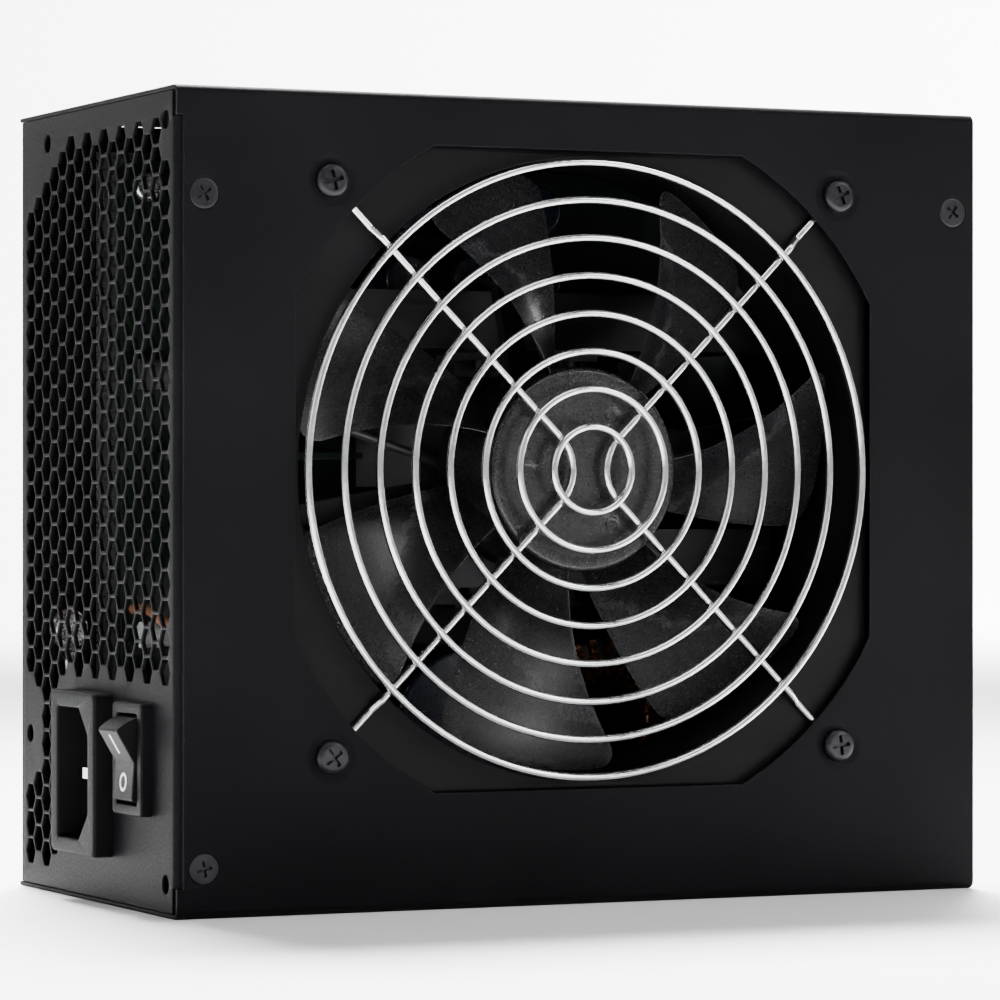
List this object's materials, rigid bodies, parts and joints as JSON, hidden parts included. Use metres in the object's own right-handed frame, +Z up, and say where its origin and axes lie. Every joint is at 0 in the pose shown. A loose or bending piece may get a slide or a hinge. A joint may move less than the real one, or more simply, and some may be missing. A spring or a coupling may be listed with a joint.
{
  "type": "computer power supply unit",
  "caption": "Boxed computer power supply with a guarded fan on its side, honeycomb rear vent, mains inlet and rocker switch.",
  "frame": {"origin": "centre of the casing's bottom face, the long narrow side that the unit stands on", "axes": "+X along the casing's depth, from the rear panel to the cable side; -Y out of the fan face; +Z up"},
  "size_m": [0.1725, 0.0874, 0.15],
  "materials": {
    "black_steel": "matte black powder coat",
    "black_screw": "black oxide",
    "bright_wire": "bright plated wire",
    "black_plastic": "moulded, fine spark texture",
    "gloss_black": "glossy moulded",
    "black_rubber": "matte",
    "steel": "zinc plated",
    "dark_ceramic": "sintered ferrite",
    "bronze": "oil-soaked sintered bronze",
    "copper": "enamelled copper",
    "brass": "tinned brass",
    "board_green": "solder-masked laminate",
    "black_wire": "insulation",
    "brown_wire": "insulation",
    "blue_wire": "insulation",
    "earth_green": "insulation",
    "clear_film": "polyester film",
    "aluminium": "extruded",
    "device_black": "moulded epoxy",
    "yellow_tape": "polyester tape",
    "powder_core": "painted iron powder",
    "can_sleeve": "shrink sleeve",
    "film_yellow": "boxed film",
    "disc_blue": "dipped ceramic",
    "glass_fuse": "glass tube"
  },
  "bodies": {
    "casing": {"base_tray": "black_steel", "board_screws": "steel", "board_standoffs": "brass", "bridge_rectifier": "device_black", "bulk_capacitor": "can_sleeve", "cable_grommet": "black_rubber", "case_screws": "black_screw", "control_board": "board_green", "earth_lug": "brass", "earth_screw": "steel", "earth_wire": "earth_green", "fan_bearing_sleeve": "bronze", "fan_cover": "black_steel", "fan_driver_board": "board_green", "fan_frame": "black_plastic", "fan_guard": "bright_wire", "fan_lead": "black_wire", "fan_motor_mount": "black_plastic", "fan_plug": "black_plastic", "fan_screws": "black_screw", "fan_stator_core": "steel", "fan_stator_windings": "copper", "fuse": "glass_fuse", "heatsink_screws": "steel", "inlet_earth_pin": "brass", "inlet_housing": "black_plastic", "inlet_live_pin": "brass", "inlet_neutral_pin": "brass", "insulating_sheet": "clear_film", "live_wire": "brown_wire", "main_board": "board_green", "main_transformer_core": "dark_ceramic", "main_transformer_winding": "yellow_tape", "mains_choke_core": "dark_ceramic", "mains_choke_winding": "copper", "neutral_wire": "blue_wire", "output_capacitors": "can_sleeve", "output_choke_core": "powder_core", "output_choke_winding": "copper", "output_rectifiers": "device_black", "pfc_choke_core": "powder_core", "pfc_choke_winding": "copper", "primary_heatsink": "aluminium", "rear_panel": "black_steel", "secondary_heatsink": "aluminium", "standby_transformer_core": "dark_ceramic", "standby_transformer_winding": "yellow_tape", "switch_housing": "black_plastic", "switch_terminals": "brass", "switch_wire": "black_wire", "switching_transistors": "device_black", "thermistor": "dark_ceramic", "x_capacitors": "film_yellow", "y_capacitors": "disc_blue"},
    "fan_rotor": {"fan_impeller": "gloss_black", "fan_yoke": "steel", "fan_magnet_ring": "dark_ceramic", "fan_shaft": "steel", "fan_shaft_clip": "steel"},
    "rocker": {"switch_rocker": "black_plastic"}
  },
  "joints": [
    {"name": "fan_spin", "type": "hinge", "parent": "casing", "child": "fan_rotor", "pos_m": [0, -0.043, 0.081], "axis": [0, -1, 0], "continuous": true},
    {"name": "switch_rock", "type": "hinge", "parent": "casing", "child": "rocker", "pos_m": [-0.0825, -0.0227, 0.028], "axis": [0, 1, 0], "range_deg": [0, 26]}
  ]
}
